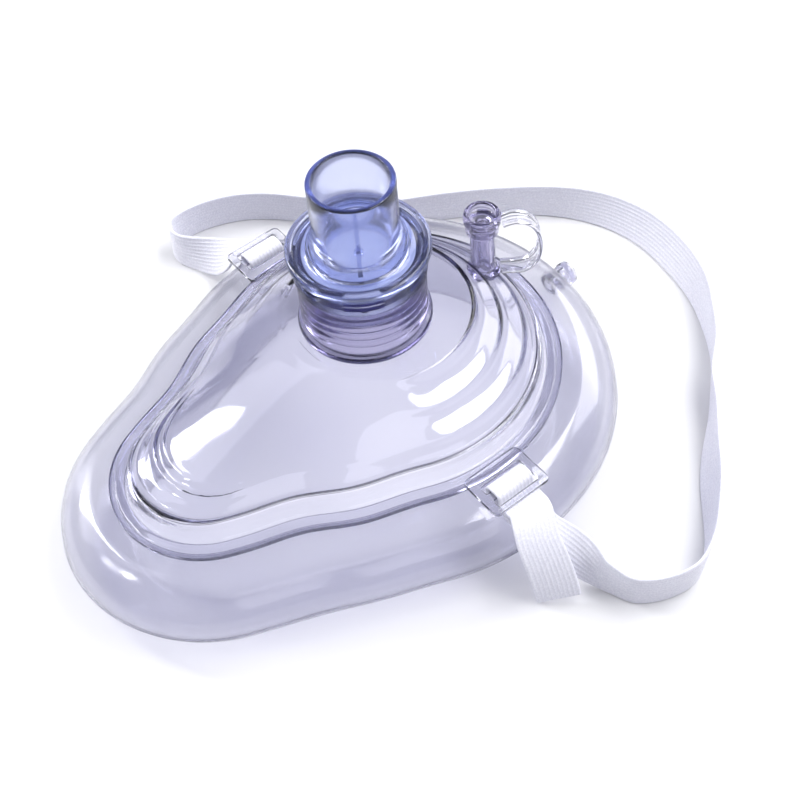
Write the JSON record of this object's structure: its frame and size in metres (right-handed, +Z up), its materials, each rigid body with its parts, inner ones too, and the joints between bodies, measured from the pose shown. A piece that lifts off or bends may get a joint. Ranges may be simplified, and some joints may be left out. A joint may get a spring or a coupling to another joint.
{
  "type": "resuscitation pocket mask",
  "caption": "Clear pocket resuscitation mask: folding dome on an inflated cushion, one-way valve with mouthpiece, capped oxygen inlet and elastic head strap.",
  "frame": {"origin": "on the table under the middle of the mask's own box, without the strap", "axes": "+X from the nose end to the chin end, +Z up along the valve, Y across the face; the mask is mirrored about Y = 0 apart from the strap, the cap's tether and the turn of the valve"},
  "size_m": [0.1849, 0.1774, 0.0847],
  "materials": {
    "clear_shell": "clear glossy vinyl with a faint lavender tint",
    "clear_collar": "clear glossy vinyl, violet where it is thick",
    "clear_cushion": "thin clear glossy film filled with air",
    "clear_fittings": "clear glossy moulded plastic",
    "blue_valve": "transparent periwinkle blue, polished",
    "white_silicone": "soft translucent white",
    "white_elastic": "ribbed white woven elastic"
  },
  "bodies": {
    "mask": {"mask_flange": "clear_shell", "dome_fold": "clear_shell", "face_cushion": "clear_cushion", "inflation_port": "clear_fittings", "near_buckle": "clear_fittings", "far_buckle": "clear_fittings", "head_strap": "white_elastic", "near_wrap": "white_elastic", "near_tail": "white_elastic", "far_wrap": "white_elastic"},
    "crown": {"dome_crown": "clear_shell", "port_collar": "clear_collar", "oxygen_port": "clear_collar", "cap_tether": "clear_fittings"},
    "cap": {"oxygen_cap": "clear_collar"},
    "plug": {"inflation_plug": "clear_fittings"},
    "valve": {"valve_base": "blue_valve", "mouthpiece": "blue_valve"},
    "diaphragm": {"valve_diaphragm": "white_silicone"}
  },
  "joints": [
    {"name": "dome_collapse", "type": "slide", "parent": "mask", "child": "crown", "axis": [0, 0, -1], "range_m": [0, 0.02], "deforming": ["dome_fold"]},
    {"name": "cap_pull", "type": "slide", "parent": "crown", "child": "cap", "axis": [0, 0, 1], "range_m": [0, 0.008], "deforming": ["cap_tether"]},
    {"name": "plug_pull", "type": "slide", "parent": "mask", "child": "plug", "axis": [1, 0, 0], "range_m": [0, 0.006]},
    {"name": "valve_pull", "type": "slide", "parent": "crown", "child": "valve", "axis": [0, 0, 1], "range_m": [0, 0.014]},
    {"name": "diaphragm_lift", "type": "slide", "parent": "valve", "child": "diaphragm", "axis": [0, 0, -1], "range_m": [0, 0.001], "stiffness_N_per_m": 20, "springref_m": -0.001}
  ]
}
